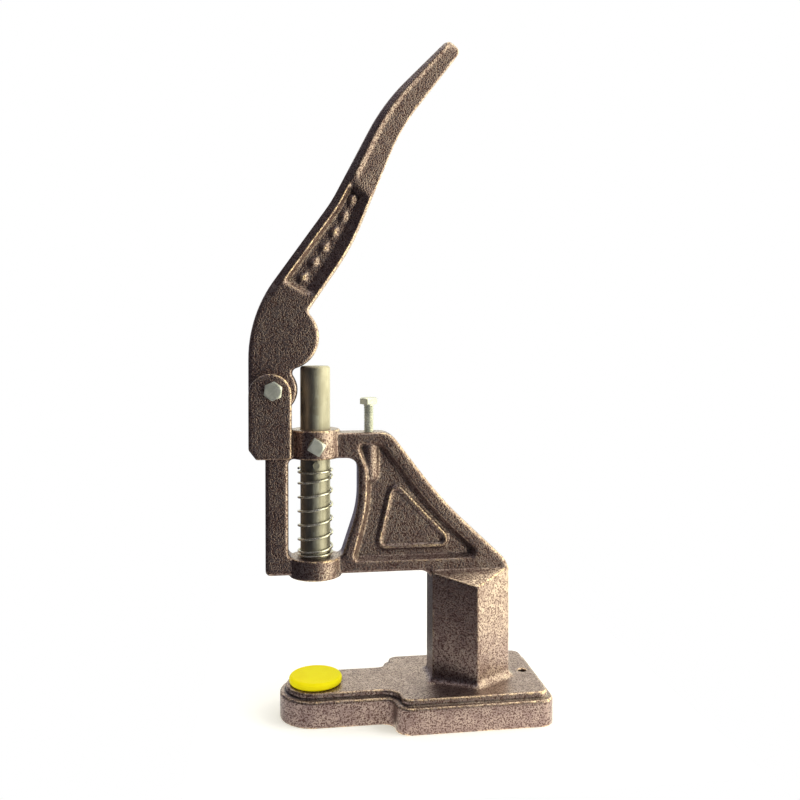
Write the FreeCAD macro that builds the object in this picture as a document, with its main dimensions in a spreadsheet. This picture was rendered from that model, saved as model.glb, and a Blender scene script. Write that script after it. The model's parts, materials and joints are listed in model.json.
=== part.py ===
import FreeCAD, Part
import math
import os

import Sketcher

# Hand lever press: a cast frame, a cast lever with a cam lobe and a spring-returned ram.
# X runs from the anvil back to the column, Z is up, and the origin is under the ram's axis.

doc = FreeCAD.newDocument("HandLeverPress")
sheet = doc.addObject("Spreadsheet::Sheet", "Sizes")

DRIVING = {
    # base: a lower tier and a smaller upper tier, with a round nose under the ram
    "base_wall": 15.5,
    "base_top": 19.2,
    "tier_inset": 3.5,
    "nose_radius": 21.5,
    "shoulder_x": 45.0,
    "base_back": 139.5,
    "base_half": 38.0,
    "shoulder_round": 7.0,
    "base_round": 9.0,
    "tier_round": 1.2,
    "screw_hole_dia": 5.0,
    "screw_hole_x": 129.5,
    "socket_dia": 10.1,
    "socket_depth": 11.0,
    # column: six-sided, widest at a ridge, under a sloping roof
    "column_front": 70.3,
    "column_front_half": 10.5,
    "ridge_x": 95.5,
    "ridge_half": 23.0,
    "column_back": 119.0,
    "column_back_half": 7.0,
    "column_round": 1.6,
    "foot_round": 4.5,
    "roof_top": 86.9,
    "roof_slope": 0.5,
    # arm: a plate with a window for the spring and a pocket on each side
    "arm_thick": 16.0,
    "arm_foot": 86.5,
    "arm_sink": 0.3,
    "throat_round": 7.5,
    "arm_top": 171.3,
    "post_front": -29.9,
    "window_front": -16.2,
    "window_foot": 96.5,
    "window_top": 156.0,
    "pocket_depth": 4.6,
    "pocket_slope": 3.0,
    "rim_round": 2.0,
    # bosses that guide the ram
    "lower_boss_radius": 16.0,
    "lower_boss_foot": 84.5,
    "upper_boss_radius": 15.0,
    "upper_boss_top": 173.4,
    "boss_round": 1.0,
    # fork that carries the lever
    "fork_front": -39.5,
    "fork_back": -14.3,
    "fork_foot": 157.0,
    "fork_arc_z": 195.0,
    "fork_wide": 32.0,
    "fork_slot": 16.2,
    "slot_foot": 181.0,
    "fork_round": 1.2,
    "pivot_x": -25.2,
    "pivot_z": 197.5,
    # lever
    "lever_thick": 15.4,
    "hub_radius": 14.5,
    "lobe_x": -17.2,
    "lobe_z": 228.8,
    "lobe_radius": 19.4,
    "recess_depth": 3.6,
    "recess_round": 1.6,
    "lever_round": 1.1,
    "lever_blend": 3.0,
    # ram, spring and cross pin
    "ram_dia": 18.0,
    "ram_bore": 18.1,
    "ram_foot": 86.0,
    "ram_top": 211.35,
    "ram_chamfer": 1.0,
    "die_thread_dia": 5.0,
    "die_thread_depth": 16.0,
    "pin_dia": 4.0,
    "pin_length": 24.0,
    "pin_z": 152.6,
    "wire_dia": 1.4,
    "coil_dia": 20.2,
    "coil_turns": 8.0,
    "closed_pitch": 2.2,
    "spring_gap": 0.3,
    # screws
    "bolt_dia": 6.0,
    "bolt_hole": 6.15,
    "bolt_across": 10.0,
    "bolt_head": 4.0,
    "pivot_length": 42.0,
    "nut_high": 5.2,
    "washer_dia": 12.0,
    "washer_thick": 1.6,
    "stop_x": 32.5,
    "stop_boss_radius": 6.8,
    "stop_boss_foot": 140.0,
    "stop_boss_round": 5.6,
    "stop_head_z": 187.9,
    "stop_length": 28.0,
    "stop_hole_depth": 26.0,
    "set_dia": 8.0,
    "set_hole": 8.1,
    "set_square": 8.0,
    "set_head": 6.0,
    "set_z": 164.5,
    "set_stand": 1.0,
    "set_turn": 31.0,
    # disc on the anvil
    "disc_dia": 32.0,
    "disc_thick": 4.6,
    "disc_round": 1.8,
    "spigot_dia": 10.0,
    "spigot_length": 10.0,
}
for row, (alias, number) in enumerate(DRIVING.items(), 1):
    sheet.set(f"A{row}", alias)
    sheet.set(f"B{row}", str(number))
    sheet.setAlias(f"B{row}", alias)
doc.recompute()


def size(alias):
    return float(sheet.get(alias))


def vec(x, y, z=0.0):
    return FreeCAD.Vector(x, y, z)


def bind(thing, **formulas):
    for name, formula in formulas.items():
        thing.setExpression(name, formula)


# Sketches: in each body they lie on its own origin planes, moved along the plane's normal.


def new_body(label):
    body = doc.addObject("PartDesign::Body", label)
    body.Label = label
    return body


def new_sketch(body, role, shift="0"):
    plane = next(f for f in body.Origin.OriginFeatures if f.Role == role)
    sketch = body.newObject("Sketcher::SketchObject", "Profile")
    sketch.AttachmentSupport = (plane, "")
    sketch.MapMode = "FlatFace"
    sketch.setExpression("AttachmentOffset.Base.z", shift)
    return sketch


def line(start, end):
    return Part.LineSegment(vec(*start), vec(*end))


def arc(start, middle, end):
    return Part.Arc(vec(*start), vec(*middle), vec(*end))


def round_corner(before, corner, after, radius):
    # The tangent arc of a corner, as its start, middle and end.
    back = (before - corner).normalize()
    ahead = (after - corner).normalize()
    half = math.acos(max(-1.0, min(1.0, back.dot(ahead)))) / 2
    inward = (back + ahead).normalize()
    tangent = radius / math.tan(half)
    middle = corner + inward * (radius / math.sin(half) - radius)
    return corner + back * tangent, middle, corner + ahead * tangent


def rounded_path(corners):
    # Straight runs with a tangent arc at each inner corner: (x, y, radius).
    points = [vec(x, y) for x, y, _ in corners]
    curves = []
    here = points[0]
    for before, corner, after, row in zip(points, points[1:], points[2:], corners[1:]):
        start, middle, end = round_corner(before, corner, after, row[2])
        curves += [Part.LineSegment(here, start), Part.Arc(start, middle, end)]
        here = end
    curves.append(Part.LineSegment(here, points[-1]))
    return curves


def rounded_loop(corners):
    # A closed outline: the path starts and ends halfway along its first run.
    (x0, y0, _), (x1, y1, _) = corners[0], corners[1]
    seam = ((x0 + x1) / 2, (y0 + y1) / 2, 0.0)
    return rounded_path([seam] + corners[1:] + corners[:1] + [seam])


def inset(corners, gap):
    # The same outline moved inward: sides keep their direction, arcs keep their centre.
    points = [vec(x, y) for x, y, _ in corners]
    sides = list(zip(points, points[1:] + points[:1]))
    ways = [(end - start).normalize() for start, end in sides]
    area = sum(start.x * end.y - end.x * start.y for start, end in sides)
    inward = math.copysign(gap, area)
    moved = []
    for n, (x, y, radius) in enumerate(corners):
        before, after = ways[n - 1], ways[n]
        step = (vec(-before.y, before.x) - vec(-after.y, after.x)) * inward
        along = (step.x * after.y - step.y * after.x) / (before.x * after.y - before.y * after.x)
        corner = vec(x - before.y * inward, y + before.x * inward) - before * along
        turn = (before.x * after.y - before.y * after.x) * inward
        moved.append((corner.x, corner.y, max(radius - math.copysign(gap, turn), 1.0)))
    return moved


def outline(sketch, curves):
    for curve in curves:
        sketch.addGeometry(curve, False)


def polygon(sketch, points):
    outline(sketch, [line(a, b) for a, b in zip(points, points[1:] + points[:1])])


def circle(sketch, x, y, radius, x_at="0", y_at="0"):
    # A circle whose radius and centre follow the sheet.
    ring = sketch.addGeometry(Part.Circle(vec(x, y), vec(0, 0, 1), 1.0), False)
    for kind, formula in (("Radius", radius), ("DistanceX", x_at), ("DistanceY", y_at)):
        if kind == "Radius":
            index = sketch.addConstraint(Sketcher.Constraint(kind, ring, 1.0))
        elif formula == "0":
            align = "Vertical" if kind == "DistanceX" else "Horizontal"
            sketch.addConstraint(Sketcher.Constraint(align, ring, 3, -1, 1))
            continue
        else:
            place = x if kind == "DistanceX" else y
            index = sketch.addConstraint(Sketcher.Constraint(kind, -1, 1, ring, 3, place))
        sketch.setExpression(f"Constraints[{index}]", formula)


def pad(body, sketch, length, both_ways=False):
    feature = body.newObject("PartDesign::Pad", "Pad")
    feature.Profile = sketch
    feature.SideType = "Symmetric" if both_ways else "One side"
    bind(feature, Length=length)
    doc.recompute()
    return feature


def pocket(body, sketch, length, both_ways=False, reversed_way=False):
    before = body.Shape.Volume
    feature = body.newObject("PartDesign::Pocket", "Pocket")
    feature.Profile = sketch
    feature.SideType = "Symmetric" if both_ways else "One side"
    feature.Reversed = reversed_way
    bind(feature, Length=length)
    doc.recompute()
    assert body.Shape.Volume < before - 1.0, f"{body.Label}: a pocket cuts nothing"
    return feature


def hollow_out(body, top, floor):
    # A hollow with sloping walls between two outlines of the same sides.
    before = body.Shape.Volume
    feature = body.newObject("PartDesign::SubtractiveLoft", "Hollow")
    feature.Profile = top
    feature.Sections = [floor]
    feature.Ruled = True
    doc.recompute()
    assert body.Shape.Volume < before - 1.0, f"{body.Label}: a hollow cuts nothing"


def edge_names(shape, test):
    return [f"Edge{n}" for n, edge in enumerate(shape.Edges, 1) if test(edge)]


def dress_edges(body, kind, test, **formulas):
    base = body.Tip
    names = edge_names(base.Shape, test)
    assert names, f"{body.Label}: no edges to dress"
    feature = body.newObject("PartDesign::" + kind, kind)
    feature.Base = (base, names)
    bind(feature, **formulas)
    doc.recompute()
    assert feature.isValid(), f"{body.Label}: edges not dressed"


def round_edges(body, radius, test):
    dress_edges(body, "Fillet", test, Radius=radius)


def is_circle(edge):
    return len(edge.Vertexes) == 1


def is_upright(edge):
    ends = [v.Point for v in edge.Vertexes]
    return len(ends) == 2 and (ends[1] - ends[0]).cross(vec(0, 0, 1)).Length < 1e-6


def lies_at(edge, axis, place):
    box = edge.BoundBox
    low, high = getattr(box, axis + "Min"), getattr(box, axis + "Max")
    return abs(low - place) < 1e-4 and abs(high - place) < 1e-4


def on_both_sides(edge, reach):
    return lies_at(edge, "Y", reach) or lies_at(edge, "Y", -reach)


# Primitives and booleans


def solid(kind, name, **formulas):
    thing = doc.addObject("Part::" + kind, name)
    bind(thing, **formulas)
    return thing


def place(thing, position, turn=None):
    thing.Placement = FreeCAD.Placement(position, turn or FreeCAD.Rotation())
    return thing


def along_y(angle=0.0):
    # Turns a piece built along +Z so that it points along +Y.
    return FreeCAD.Rotation(vec(1, 0, 0), -90).multiply(FreeCAD.Rotation(vec(0, 0, 1), angle))


def fuse(label, pieces):
    thing = doc.addObject("Part::MultiFuse", label)
    thing.Label = label
    thing.Shapes = pieces
    thing.Refine = True
    return thing


def cut(label, base, tools):
    holes = tools[0] if len(tools) == 1 else fuse(label + "_holes", tools)
    thing = doc.addObject("Part::Cut", label)
    thing.Label = label
    thing.Base = base
    thing.Tool = holes
    return thing


def common(label, base, tool):
    thing = doc.addObject("Part::Common", label)
    thing.Base = base
    thing.Tool = tool
    return thing


# Frame casting


def base_tier(body, foot, height, inset):
    # One tier of the base: a half-round nose, then the wide part behind the shoulders.
    nose = size("nose_radius") - inset
    half = size("base_half") - inset
    front = size("shoulder_x") + inset
    back = size("base_back") - inset
    plan = new_sketch(body, "XY_Plane", foot)
    outline(plan, [
        arc((0, nose), (-nose, 0), (0, -nose)),
        line((0, -nose), (front, -nose)),
        line((front, -nose), (front, -half)),
        line((front, -half), (back, -half)),
        line((back, -half), (back, half)),
        line((back, half), (front, half)),
        line((front, half), (front, nose)),
        line((front, nose), (0, nose)),
    ])
    pad(body, plan, height)
    top = body.Shape.BoundBox.ZMax

    def corner(x, y):
        def test(edge):
            middle = edge.CenterOfMass
            near = abs(middle.x - x) < 1e-3 and abs(abs(middle.y) - y) < 1e-3
            return is_upright(edge) and near and abs(edge.BoundBox.ZMax - top) < 1e-3
        return test

    round_edges(body, f"Sizes.shoulder_round + {inset}", corner(front, nose))
    round_edges(body, f"Sizes.base_round - {inset}", corner(front, half))
    round_edges(body, f"Sizes.base_round - {inset}", corner(back, half))


def base_and_column():
    body = new_body("base_and_column")
    base_tier(body, "0", "Sizes.base_wall", 0.0)
    base_tier(body, "Sizes.base_wall", "Sizes.base_top - Sizes.base_wall", size("tier_inset"))

    plan = new_sketch(body, "XY_Plane", "Sizes.base_wall")
    sides = [
        (size("column_front"), size("column_front_half")),
        (size("ridge_x"), size("ridge_half")),
        (size("column_back"), size("column_back_half")),
    ]
    polygon(plan, sides + [(x, -y) for x, y in reversed(sides)])
    pad(body, plan, "Sizes.roof_top - Sizes.base_wall")

    # The roof falls away on both sides of the arm.
    half = size("arm_thick") / 2
    top = size("roof_top")
    reach = 2 * size("ridge_half")
    eaves = top - size("roof_slope") * (reach - half)
    roof = new_sketch(body, "YZ_Plane")
    slope = [(half, top), (reach, eaves), (reach, 2 * top), (half, 2 * top)]
    for side in (1, -1):
        polygon(roof, [(side * y, z) for y, z in slope])
    pocket(body, roof, "4 * Sizes.base_back", both_ways=True)

    def column_corner(edge):
        return is_upright(edge) and edge.BoundBox.ZMin > size("base_wall") and edge.Length > 20

    round_edges(body, "Sizes.column_round", column_corner)

    def column_foot(edge):
        box = edge.BoundBox
        inside = box.XMin > size("column_front") - 1 and box.XMax < size("column_back") + 1
        return lies_at(edge, "Z", size("base_top")) and inside and box.YLength < 2 * size("ridge_half") + 1

    round_edges(body, "Sizes.foot_round", column_foot)

    def is_lower_wall(face):
        return face.BoundBox.ZMin < 0.1 and face.BoundBox.ZLength > 5

    lower_walls = [face for face in body.Shape.Faces if is_lower_wall(face)]

    def lower_rim(edge):
        # The upper tier's foot lies at the same height, but away from the lower tier's wall.
        probe = Part.Vertex(edge.valueAt((edge.FirstParameter + edge.LastParameter) / 2))
        return min(probe.distToShape(wall)[0] for wall in lower_walls) < 0.5

    def upper_rim(edge):
        box = edge.BoundBox
        clear = size("foot_round") + 3
        ahead = box.XMin < size("column_front") - clear
        behind = box.XMax > size("column_back") + clear
        beside = max(-box.YMin, box.YMax) > size("ridge_half") + clear
        return ahead or behind or beside

    def tier_rim(edge):
        at_lower = lies_at(edge, "Z", size("base_wall")) and lower_rim(edge)
        at_upper = lies_at(edge, "Z", size("base_top")) and upper_rim(edge)
        return at_lower or at_upper

    round_edges(body, "Sizes.tier_round", tier_rim)
    return body


def window_outline():
    sill, lintel = size("window_foot"), size("window_top")
    return rounded_loop([
        (size("window_front"), sill, 4.0),
        (size("window_front"), lintel, 3.0),
        (25.6, lintel, 7.0),
        (25.6, 127.0, 60.0),
        (15.5, sill, 4.0),
    ])


def arm():
    # Plate from the front post to the column, with the spring's window and a pocket on each side.
    body = new_body("arm")
    foot, top = size("arm_foot"), size("arm_top")
    front, back = size("post_front"), size("column_back")
    hidden = foot - 26.0
    inner = size("column_front") + size("arm_sink")
    side = new_sketch(body, "XZ_Plane")
    outline(side, rounded_loop([
        (front, foot, 3.0),
        (front, top, 3.0),
        (45.0, top, 12.0),
        (77.5, 128.6, 250.0),
        (back, 89.4, 15.0),
        (back, hidden, 3.0),
        (inner, hidden, 3.0),
        (inner, foot, size("throat_round")),
    ]))
    outline(side, window_outline())
    pad(body, side, "Sizes.arm_thick", both_ways=True)
    half = size("arm_thick") / 2
    round_edges(body, "Sizes.rim_round", lambda edge: on_both_sides(edge, half))

    rim = [
        (24.2, 165.0, 3.0),
        (40.3, 165.0, 6.0),
        (72.1, 123.4, 240.0),
        (104.0, 93.0, 4.0),
        (21.3, 93.0, 4.0),
        (30.4, 127.0, 80.0),
        (30.4, 149.0, 14.0),
    ]
    for side_sign in ("", "-"):
        top = new_sketch(body, "XZ_Plane", f"{side_sign}Sizes.arm_thick / 2")
        outline(top, rounded_loop(rim))
        floor = new_sketch(body, "XZ_Plane", f"{side_sign}(Sizes.arm_thick / 2 - Sizes.pocket_depth)")
        outline(floor, rounded_loop(inset(rim, size("pocket_slope"))))
        hollow_out(body, top, floor)
    return body


def fork():
    body = new_body("fork")
    front, back = size("fork_front"), size("fork_back")
    foot, shoulder = size("fork_foot"), size("fork_arc_z")
    middle, radius = (front + back) / 2, (back - front) / 2
    side = new_sketch(body, "XZ_Plane")
    outline(side, [
        line((front, foot + 6.0), (front, shoulder)),
        arc((front, shoulder), (middle, shoulder + radius), (back, shoulder)),
        line((back, shoulder), (back, foot)),
        line((back, foot), (front + 4.5, foot)),
        line((front + 4.5, foot), (front, foot + 6.0)),
    ])
    pad(body, side, "Sizes.fork_wide", both_ways=True)
    half = size("fork_wide") / 2
    round_edges(body, "Sizes.fork_round", lambda edge: on_both_sides(edge, half))

    slot = new_sketch(body, "XZ_Plane")
    low, high = size("slot_foot"), shoulder + 2 * radius
    polygon(slot, [(front - 5, low), (back + 5, low), (back + 5, high), (front - 5, high)])
    pocket(body, slot, "Sizes.fork_slot", both_ways=True)
    return body


def boss(name, radius, foot, top):
    body = new_body(name)
    plan = new_sketch(body, "XY_Plane", foot)
    circle(plan, 0, 0, radius)
    pad(body, plan, f"{top} - {foot}")
    round_edges(body, "Sizes.boss_round", is_circle)
    return body


def stop_boss():
    # Rib in the arm's pockets around the stop bolt's thread, with a round lower end.
    body = new_body("stop_boss")
    foot = size("stop_boss_foot")
    plan = new_sketch(body, "XY_Plane", "Sizes.stop_boss_foot")
    circle(plan, size("stop_x"), 0, "Sizes.stop_boss_radius", x_at="Sizes.stop_x")
    pad(body, plan, "Sizes.arm_top - Sizes.rim_round - 1 - Sizes.stop_boss_foot")
    round_edges(body, "Sizes.stop_boss_round", lambda edge: is_circle(edge) and lies_at(edge, "Z", foot))
    return body


def hole(name, dia, depth):
    return solid("Cylinder", name, Radius=f"{dia} / 2", Height=depth)


def frame_casting():
    pieces = [
        base_and_column(),
        arm(),
        fork(),
        boss("lower_boss", "Sizes.lower_boss_radius", "Sizes.lower_boss_foot", "Sizes.window_foot"),
        boss("upper_boss", "Sizes.upper_boss_radius", "Sizes.window_top", "Sizes.upper_boss_top"),
        stop_boss(),
    ]
    ram_bore = hole("ram_bore", "Sizes.ram_bore", "Sizes.pivot_z")
    place(ram_bore, vec(0, 0, size("base_top") + size("socket_depth")))
    socket = hole("die_socket", "Sizes.socket_dia", "2 * Sizes.socket_depth")
    place(socket, vec(0, 0, size("base_top") - size("socket_depth")))
    screw_hole = hole("screw_hole", "Sizes.screw_hole_dia", "3 * Sizes.base_top")
    place(screw_hole, vec(size("screw_hole_x"), 0, -size("base_top")))
    pivot_hole = hole("pivot_hole", "Sizes.bolt_hole", "2 * Sizes.fork_wide")
    place(pivot_hole, vec(size("pivot_x"), -size("fork_wide"), size("pivot_z")), along_y())
    stop_hole = hole("stop_hole", "Sizes.bolt_hole", "2 * Sizes.stop_hole_depth")
    place(stop_hole, vec(size("stop_x"), 0, size("arm_top") - size("stop_hole_depth")))
    set_hole = hole("set_hole", "Sizes.set_hole", "2 * Sizes.upper_boss_radius")
    place(set_hole, vec(0, -2 * size("upper_boss_radius"), size("set_z")), along_y())
    holes = [ram_bore, socket, screw_hole, pivot_hole, stop_hole, set_hole]
    return cut("frame_casting", fuse("casting_blank", pieces), holes)


# Lever


def circles_meet(first, first_radius, second, second_radius, left):
    # The meeting point of two circles on one side of the line between their centres.
    gap = second - first
    along = (first_radius ** 2 - second_radius ** 2 + gap.Length ** 2) / (2 * gap.Length)
    across = math.sqrt(first_radius ** 2 - along ** 2)
    way = FreeCAD.Vector(gap).normalize()
    normal = vec(-way.y, way.x) if left else vec(way.y, -way.x)
    return first + way * along + normal * across


def hand_lever():
    body = new_body("hand_lever")
    pivot = vec(size("pivot_x"), size("pivot_z"))
    lobe = vec(size("lobe_x"), size("lobe_z"))
    hub, reach, blend = size("hub_radius"), size("lobe_radius"), size("lever_blend")
    hub_front = pivot + vec(-hub, 0)

    def between(centre, radius, target):
        return centre + (target - centre).normalize() * radius

    # crook between hub and lobe: a hollow that touches both circles
    crook = circles_meet(pivot, hub + blend, lobe, reach + blend, left=False)
    hub_end, lobe_start = between(pivot, hub, crook), between(lobe, reach, crook)
    crook_middle = between(crook, blend, (hub_end + lobe_start) / 2)

    # notch above the lobe: a hollow that touches the lobe and the shank's back edge
    back_run = (vec(-1.7, 248.0), vec(21.8, 282.4))
    along = (back_run[1] - back_run[0]).normalize()
    outward = vec(along.y, -along.x)
    offset = (blend - (lobe - back_run[0]).dot(outward)) / (reach + blend)
    turn = math.atan2(outward.y, outward.x) + math.acos(offset)
    notch = lobe + vec(math.cos(turn), math.sin(turn)) * (reach + blend)
    lobe_end = between(lobe, reach, notch)
    shank_start = notch - outward * blend
    notch_middle = between(notch, blend, (lobe_end + shank_start) / 2)

    side = new_sketch(body, "XZ_Plane")
    outline(side, [
        arc(hub_front, pivot + vec(0, -hub), hub_end),
        arc(hub_end, crook_middle, lobe_start),
        arc(lobe_start, lobe + vec(reach, 0), lobe_end),
        arc(lobe_end, notch_middle, shank_start),
    ])
    outline(side, rounded_path([
        (shank_start.x, shank_start.y, 0.0),
        (21.8, 282.4, 150.0),
        (51.9, 355.3, 130.0),
        (88.7, 403.1, 4.2),
        (81.6, 411.2, 4.2),
        (41.0, 370.2, 130.0),
        (9.8, 310.3, 100.0),
        (hub_front.x, 241.6, 80.0),
        (hub_front.x, hub_front.y, 0.0),
    ]))
    pad(body, side, "Sizes.lever_thick", both_ways=True)

    for shift, away in (("Sizes.lever_thick / 2", False), ("-Sizes.lever_thick / 2", True)):
        hollow = new_sketch(body, "XZ_Plane", shift)
        outline(hollow, rounded_loop([
            (-23.6, 256.6, 7.0),
            (13.6, 308.0, 100.0),
            (21.8, 324.4, 4.0),
            (34.3, 320.6, 4.0),
            (18.7, 283.6, 150.0),
            (-4.2, 249.0, 7.0),
        ]))
        pocket(body, hollow, "Sizes.recess_depth", reversed_way=away)

    half = size("lever_thick") / 2
    floor = half - size("recess_depth")
    round_edges(body, "Sizes.recess_round", lambda edge: on_both_sides(edge, floor))
    round_edges(body, "Sizes.lever_round", lambda edge: on_both_sides(edge, half))

    bore = new_sketch(body, "XZ_Plane")
    circle(bore, pivot.x, pivot.y, "Sizes.bolt_hole / 2", x_at="Sizes.pivot_x", y_at="Sizes.pivot_z")
    pocket(body, bore, "2 * Sizes.lever_thick", both_ways=True)
    return body


# Ram, cross pin and return spring


def ram():
    body = new_body("ram")
    section = new_sketch(body, "XY_Plane", "Sizes.ram_foot")
    circle(section, 0, 0, "Sizes.ram_dia / 2")
    pad(body, section, "Sizes.ram_top - Sizes.ram_foot")
    dress_edges(body, "Chamfer", is_circle, Size="Sizes.ram_chamfer")
    thread = new_sketch(body, "XY_Plane", "Sizes.ram_foot")
    circle(thread, 0, 0, "Sizes.die_thread_dia / 2")
    pocket(body, thread, "Sizes.die_thread_depth", reversed_way=True)
    cross = new_sketch(body, "XZ_Plane")
    circle(cross, 0, size("pin_z"), "Sizes.pin_dia / 2", y_at="Sizes.pin_z")
    pocket(body, cross, "2 * Sizes.ram_dia", both_ways=True)
    return body


def spring_pin():
    pin = solid("Cylinder", "spring_pin", Radius="Sizes.pin_dia / 2", Height="Sizes.pin_length")
    pin.Label = "spring_pin"
    return place(pin, vec(0, -size("pin_length") / 2, size("pin_z")), along_y())


def coil_height(turn, turns, closed, travel):
    # Height along the coil: closed end turns, then a half-turn ramp to the working pitch.
    ramp = 0.5
    working = (travel - 2 * closed) / (turns - 2 - ramp)
    working -= closed * ramp / (turns - 2 - ramp)

    def from_end(t):
        if t <= 1.0:
            return closed * t
        rise = min(t - 1.0, ramp)
        height = closed + closed * rise + (working - closed) * rise ** 2 / (2 * ramp)
        return height + working * max(t - 1.0 - ramp, 0.0)

    if turn <= turns / 2:
        return from_end(turn)
    return travel - from_end(turns - turn)


def biarc(start, start_way, end, end_way):
    # Two arcs that join two points and keep the direction at both.
    span = end - start
    ways = start_way + end_way
    a = 2 * (start_way.dot(end_way) - 1)
    b = -2 * span.dot(ways)
    reach = (-b - math.sqrt(b * b - 4 * a * span.dot(span))) / (2 * a)
    first = start + start_way * reach
    second = end - end_way * reach
    joint = (first + second) / 2

    def tangent_arc(p, corner, q):
        chord = (p + q) / 2
        half = (q - p).Length / 2
        depth = (chord - corner).Length
        middle = corner + (chord - corner) * (reach * (reach - half) / depth ** 2)
        return Part.Arc(p, middle, q).toShape()

    return [tangent_arc(start, first, joint), tangent_arc(joint, second, end)]


def return_spring():
    wire, turns = size("wire_dia"), size("coil_turns")
    radius = size("coil_dia") / 2
    foot = size("window_foot") + size("spring_gap") + wire / 2
    top = size("pin_z") - size("pin_dia") / 2 - size("spring_gap") - wire / 2
    first_angle = math.pi

    def point(turn):
        angle = first_angle + 2 * math.pi * turn
        height = foot + coil_height(turn, turns, size("closed_pitch"), top - foot)
        return vec(radius * math.cos(angle), radius * math.sin(angle), height)

    def way(turn):
        step = 1e-4
        return (point(min(turn + step, turns)) - point(max(turn - step, 0.0))).normalize()

    quarters = int(4 * turns)
    edges = []
    for quarter in range(quarters):
        begin, finish = quarter / 4, (quarter + 1) / 4
        edges += biarc(point(begin), way(begin), point(finish), way(finish))
    lead_in = Part.LineSegment(point(0) - way(0) * wire, point(0)).toShape()
    lead_out = Part.LineSegment(point(turns), point(turns) + way(turns) * wire).toShape()
    path = Part.Wire([lead_in] + edges + [lead_out])

    section = Part.Wire(Part.Circle(point(0) - way(0) * wire, way(0), wire / 2).toShape())
    tube = Part.BRepOffsetAPI.MakePipeShell(path)
    tube.add(section)
    tube.build()
    tube.makeSolid()
    spring = doc.addObject("Part::Feature", "return_spring")
    spring.Label = "return_spring"
    spring.Shape = tube.shape()
    spring.Placement = FreeCAD.Placement()

    steps = 36
    samples = [point(k / steps) for k in range(int(turns * steps) + 1)]
    gaps = [
        samples[i].distanceToPoint(samples[j])
        for i in range(len(samples))
        for j in range(i + steps // 2, len(samples))
    ]
    expected = path.Length * math.pi * wire ** 2 / 4
    print(f"spring: least gap to itself {min(gaps) - wire:.2f} mm")
    print(f"spring: volume {spring.Shape.Volume:.1f} mm3, section times length {expected:.1f} mm3")
    return spring


# Screws


def hex_block(name, across, high):
    # A hexagon with its corners turned down at 30 degrees on the outer face.
    hexagon = solid("Prism", name + "_hexagon", Circumradius=f"{across} / sqrt(3)", Height=high)
    hexagon.Polygon = 6
    crown = solid(
        "Cone", name + "_crown",
        Radius1=f"0.475 * {across} + {high} / tan(30)", Radius2=f"0.475 * {across}", Height=high,
    )
    return common(name + "_block", hexagon, crown)


def threaded_shank(name, dia, length):
    # A shank along -Z from the head, with a turned-down point.
    rod = solid("Cylinder", name + "_rod", Radius=f"{dia} / 2", Height=f"{length} - 1")
    point = solid("Cone", name + "_point", Radius1=f"{dia} / 2", Radius2=f"{dia} / 2 - 0.8", Height="1")
    point.setExpression("Placement.Base.z", f"{length} - 1")
    shank = fuse(name + "_shank", [rod, point])
    return place(shank, vec(0, 0, 0), FreeCAD.Rotation(vec(1, 0, 0), 180))


def hex_bolt(name, length):
    head = hex_block(name, "Sizes.bolt_across", "Sizes.bolt_head")
    return fuse(name, [head, threaded_shank(name, "Sizes.bolt_dia", length)])


def pivot_bolt():
    bolt = hex_bolt("pivot_bolt", "Sizes.pivot_length")
    turn = FreeCAD.Rotation(vec(1, 0, 0), 90).multiply(FreeCAD.Rotation(vec(0, 0, 1), -7))
    return place(bolt, vec(size("pivot_x"), -size("fork_wide") / 2, size("pivot_z")), turn)


def pivot_washer():
    disc = solid("Cylinder", "washer_disc", Radius="Sizes.washer_dia / 2", Height="Sizes.washer_thick")
    washer = cut("pivot_washer", disc, [hole("washer_hole", "Sizes.bolt_hole", "Sizes.washer_thick")])
    return place(washer, vec(size("pivot_x"), size("fork_wide") / 2, size("pivot_z")), along_y())


def pivot_nut():
    block = hex_block("nut", "Sizes.bolt_across", "Sizes.nut_high")
    nut = cut("pivot_nut", block, [hole("nut_hole", "Sizes.bolt_hole", "Sizes.nut_high")])
    seat = size("fork_wide") / 2 + size("washer_thick")
    return place(nut, vec(size("pivot_x"), seat, size("pivot_z")), along_y(12.0))


def stop_bolt():
    bolt = hex_bolt("stop_bolt", "Sizes.stop_length")
    return place(bolt, vec(size("stop_x"), 0, size("stop_head_z")), FreeCAD.Rotation(vec(0, 0, 1), 14))


def ram_screw():
    corner = "Sizes.set_square / sqrt(2)"
    square = solid("Prism", "set_square", Circumradius=corner, Height="Sizes.set_head")
    square.Polygon = 4
    crown = solid(
        "Cone", "set_crown",
        Radius1="0.56 * Sizes.set_square + 2 * Sizes.set_head", Radius2="0.56 * Sizes.set_square",
        Height="Sizes.set_head",
    )
    head = common("set_head", square, crown)
    length = "Sizes.upper_boss_radius + Sizes.set_stand - Sizes.ram_dia / 2 - 0.3"
    screw = fuse("ram_screw", [head, threaded_shank("ram_screw", "Sizes.set_dia", length)])
    turn = FreeCAD.Rotation(vec(1, 0, 0), 90).multiply(FreeCAD.Rotation(vec(0, 0, 1), size("set_turn")))
    return place(screw, vec(0, -size("upper_boss_radius") - size("set_stand"), size("set_z")), turn)


# Disc on the anvil


def anvil_disc():
    body = new_body("anvil_disc")
    plan = new_sketch(body, "XY_Plane", "Sizes.base_top")
    circle(plan, 0, 0, "Sizes.disc_dia / 2")
    pad(body, plan, "Sizes.disc_thick")
    round_edges(body, "Sizes.disc_round", is_circle)
    stem = new_sketch(body, "XY_Plane", "Sizes.base_top - Sizes.spigot_length")
    circle(stem, 0, 0, "Sizes.spigot_dia / 2")
    pad(body, stem, "Sizes.spigot_length + Sizes.disc_thick / 2")
    return body


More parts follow.
